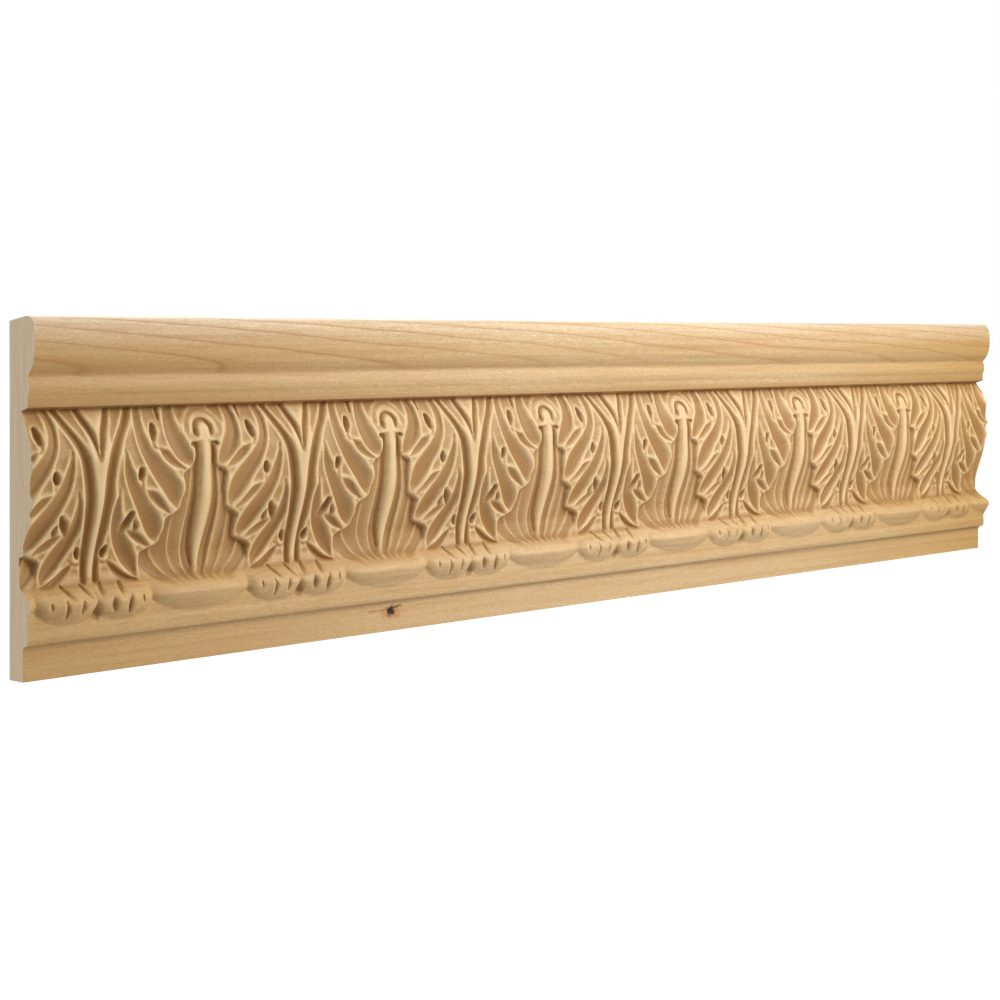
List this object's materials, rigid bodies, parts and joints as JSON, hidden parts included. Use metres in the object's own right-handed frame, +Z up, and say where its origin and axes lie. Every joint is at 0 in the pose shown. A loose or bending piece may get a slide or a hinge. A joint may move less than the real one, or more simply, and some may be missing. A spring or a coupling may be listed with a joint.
{
  "type": "carved wood moulding",
  "caption": "Straight length of flat-backed maple frieze moulding with a cornice nose, a carved acanthus and shell band, a boss row and a plain foot.",
  "frame": {"origin": "centre of the flat back face", "axes": "+X along the length, to the right seen from the front; +Y into the wall, out of the back; +Z up"},
  "size_m": [0.768, 0.019, 0.154],
  "materials": {
    "maple": "unfinished, planed and carved"
  },
  "bodies": {
    "root": {"carved_moulding": "maple"}
  },
  "joints": []
}
